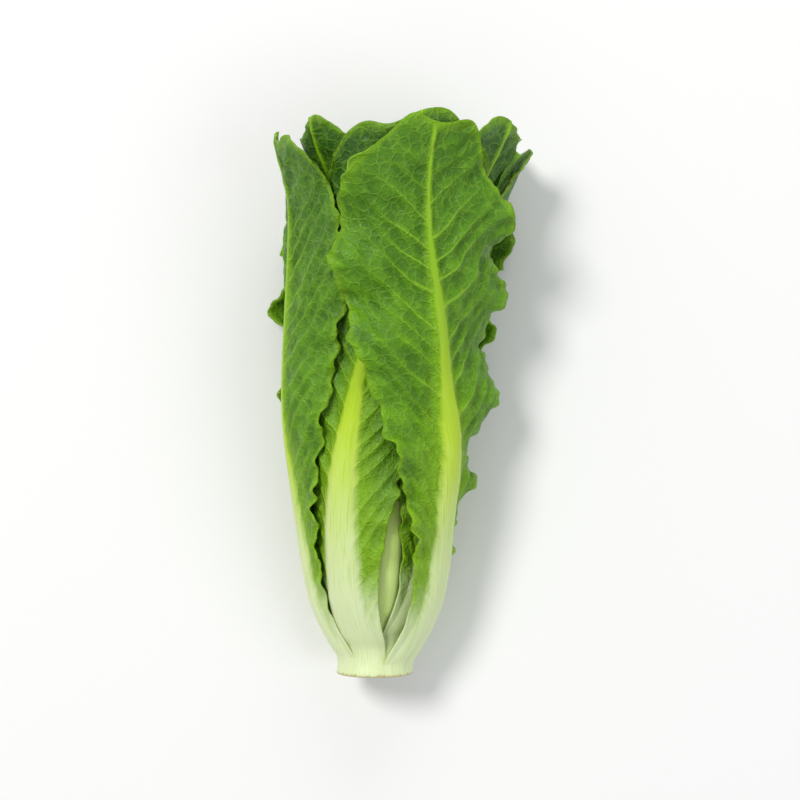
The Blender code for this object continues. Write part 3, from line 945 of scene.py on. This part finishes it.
# Flesh of the stem. Distances from the axis and from the cut are millimetres, and a pair is where
# a soft step begins and ends.
fleshLook = {
    "grain": (260.0, 4.0, 0.6), "broad": (60.0, 3.0, 0.5), "wobble": 5.0, "face": (0.9, 0.2),
    "pith": (4.0, 9.0), "ringStart": (10.5, 12.5), "ringEnd": (15.5, 13.0),
    "dotScale": 420.0, "dots": (0.35, 0.12), "vesselShare": 0.55,
    "rust": (13.5, 19.5), "rustGrain": (0.30, 0.65), "rustShare": 0.75,
    "stain": (0.50, 0.72), "stainShare": 0.40,
    "side": (2.0, 14.0), "sideGrain": (0.5, 0.75), "sideGrainShare": 0.30,
    "low": (2.6, 0.2), "lowShare": 0.50,
    "bump": 0.0004, "roughness": 0.40, "grainRoughness": 0.22,
    "subsurface": 0.25, "radius": (1.0, 0.9, 0.4), "scale": 0.003,
}
fleshColours = {
    "pith": (0.72, 0.76, 0.46), "cut": (0.80, 0.76, 0.52), "vessels": (0.48, 0.34, 0.14),
    "rust": (0.42, 0.22, 0.075), "stain": (0.58, 0.40, 0.17),
    "sideLow": (0.70, 0.72, 0.46), "side": (0.66, 0.77, 0.42), "sideGrain": (0.56, 0.48, 0.24),
    "sideRust": (0.50, 0.33, 0.13),
}


def stemMaterial():
    look = fleshLook
    colours = {name: (*colour, 1.0) for name, colour in fleshColours.items()}
    mat = bpy.data.materials.new("stem flesh")
    mat.use_nodes = True
    tree = mat.node_tree
    shader = tree.nodes["Principled BSDF"]
    reach, climb = uvParts(tree, "stem")
    reach = times(tree, reach, stemLook["uvRadius"] * millimetres)
    climb = times(tree, climb, stemLook["uvLength"] * millimetres)
    solid = addNode(tree, "ShaderNodeTexCoord").outputs["Object"]
    grain = noise(tree, solid, *look["grain"])
    broad = noise(tree, solid, *look["broad"])
    wobble = centred(tree, broad, look["wobble"])
    reach = maths(tree, "ADD", reach, wobble)

    # the cut: pith, a ring of vessels, and rust towards the rim
    cut = mixColour(tree, ramp(tree, reach, *look["pith"]), colours["pith"], colours["cut"])
    dots = addNode(tree, "ShaderNodeTexVoronoi")
    dots.inputs["Scale"].default_value = look["dotScale"]
    feed(tree, dots.inputs["Vector"], solid)
    ring = times(tree, ramp(tree, reach, *look["ringStart"]), ramp(tree, reach, *look["ringEnd"]))
    vessels = times(tree, ring, ramp(tree, dots.outputs["Distance"], *look["dots"]))
    vessels = times(tree, vessels, look["vesselShare"])
    cut = mixColour(tree, vessels, cut, colours["vessels"])
    rust = times(tree, ramp(tree, reach, *look["rust"]), ramp(tree, grain, *look["rustGrain"]))
    cut = mixColour(tree, times(tree, rust, look["rustShare"]), cut, colours["rust"])
    stain = times(tree, ramp(tree, broad, *look["stain"]), look["stainShare"])
    cut = mixColour(tree, stain, cut, colours["stain"])

    # the side: pale, with a browned line at the cut
    side = mixColour(tree, ramp(tree, climb, *look["side"]), colours["sideLow"], colours["side"])
    mottled = times(tree, ramp(tree, grain, *look["sideGrain"]), look["sideGrainShare"])
    side = mixColour(tree, mottled, side, colours["sideGrain"])
    low = ramp(tree, maths(tree, "ADD", climb, wobble), *look["low"])
    side = mixColour(tree, times(tree, low, look["lowShare"]), side, colours["sideRust"])
    face = ramp(tree, climb, *look["face"])
    tree.links.new(mixColour(tree, face, side, cut), shader.inputs["Base Color"])

    bump = addNode(tree, "ShaderNodeBump")
    bump.inputs["Distance"].default_value = look["bump"]
    tree.links.new(grain, bump.inputs["Height"])
    tree.links.new(bump.outputs["Normal"], shader.inputs["Normal"])
    rough = maths(tree, "ADD", look["roughness"], times(tree, grain, look["grainRoughness"]))
    tree.links.new(rough, shader.inputs["Roughness"])
    shader.inputs["Subsurface Weight"].default_value = look["subsurface"]
    shader.inputs["Subsurface Radius"].default_value = look["radius"]
    shader.inputs["Subsurface Scale"].default_value = look["scale"]
    return mat


addPiece({
    "name": "stem_fine", "mesh": buildStemMesh(), "material": stemMaterial(), "node": "stem",
    "slot": "stem",
})
print("stem made")

# Floor: its height, half width, shade and roughness
floorLook = {"height": -0.0003, "half": 20.0, "shade": 0.86, "roughness": 0.7}


def addFloor():
    mesh = bpy.data.meshes.new("floor")
    half, height, shade = floorLook["half"], floorLook["height"], floorLook["shade"]
    corners = [(-half, -half), (half, -half), (half, half), (-half, half)]
    mesh.from_pydata([(x, y, height) for x, y in corners], [], [(0, 1, 2, 3)])
    floor = bpy.data.objects.new("floor", mesh)
    bpy.context.scene.collection.objects.link(floor)
    mat = bpy.data.materials.new("pale floor")
    mat.use_nodes = True
    shader = mat.node_tree.nodes["Principled BSDF"]
    shader.inputs["Base Color"].default_value = (shade, shade, shade, 1.0)
    shader.inputs["Roughness"].default_value = floorLook["roughness"]
    mesh.materials.append(mat)


# Lights: name, place, size, power and colour; each aims at the middle of the head
lights = [
    ("key", (-1.5, 1.3, 3.0), 1.1, 76.0, (1.0, 0.985, 0.95)),
    ("fill", (2.2, -0.8, 2.4), 2.2, 22.0, (0.95, 0.98, 1.0)),
    ("back", (0.4, 2.8, 1.6), 1.8, 18.0, (1.0, 1.0, 0.97)),
]
studio = {"colour": (0.97, 0.985, 1.0, 1.0), "strength": 0.48}


def aim(obj, target):
    obj.rotation_euler = (Vector(target) - obj.location).to_track_quat("-Z", "Y").to_euler()


def addLights(target):
    for name, spot, size, power, tint in lights:
        data = bpy.data.lights.new(name, "AREA")
        data.shape = "DISK"
        data.size = size
        data.energy = power
        data.color = tint
        lamp = bpy.data.objects.new(name, data)
        lamp.location = spot
        bpy.context.scene.collection.objects.link(lamp)
        aim(lamp, target)
    world = bpy.data.worlds.new("studio")
    world.use_nodes = True
    background = world.node_tree.nodes["Background"]
    background.inputs["Color"].default_value = studio["colour"]
    background.inputs["Strength"].default_value = studio["strength"]
    bpy.context.scene.world = world


# Camera: straight above the head, tips up in the picture. The head fills its share of the width.
cameraLook = {"lens": 85.0, "sensor": 36.0, "headShare": 0.70}


def addCamera(middle, length):
    data = bpy.data.cameras.new("camera")
    data.lens = cameraLook["lens"]
    data.sensor_width = cameraLook["sensor"]
    distance = length / cameraLook["headShare"] * data.lens / data.sensor_width
    camera = bpy.data.objects.new("camera", data)
    camera.location = (middle.x, middle.y, middle.z + distance)
    bpy.context.scene.collection.objects.link(camera)
    bpy.context.scene.camera = camera


low, high = Vector(cadBox[0]), Vector(cadBox[1])
middle = (low + high) / 2
addFloor()
addCamera(middle, high.y - low.y)
addLights(middle)
bpy.context.scene.view_settings.view_transform = "Standard"
print("floor, lights and camera made")
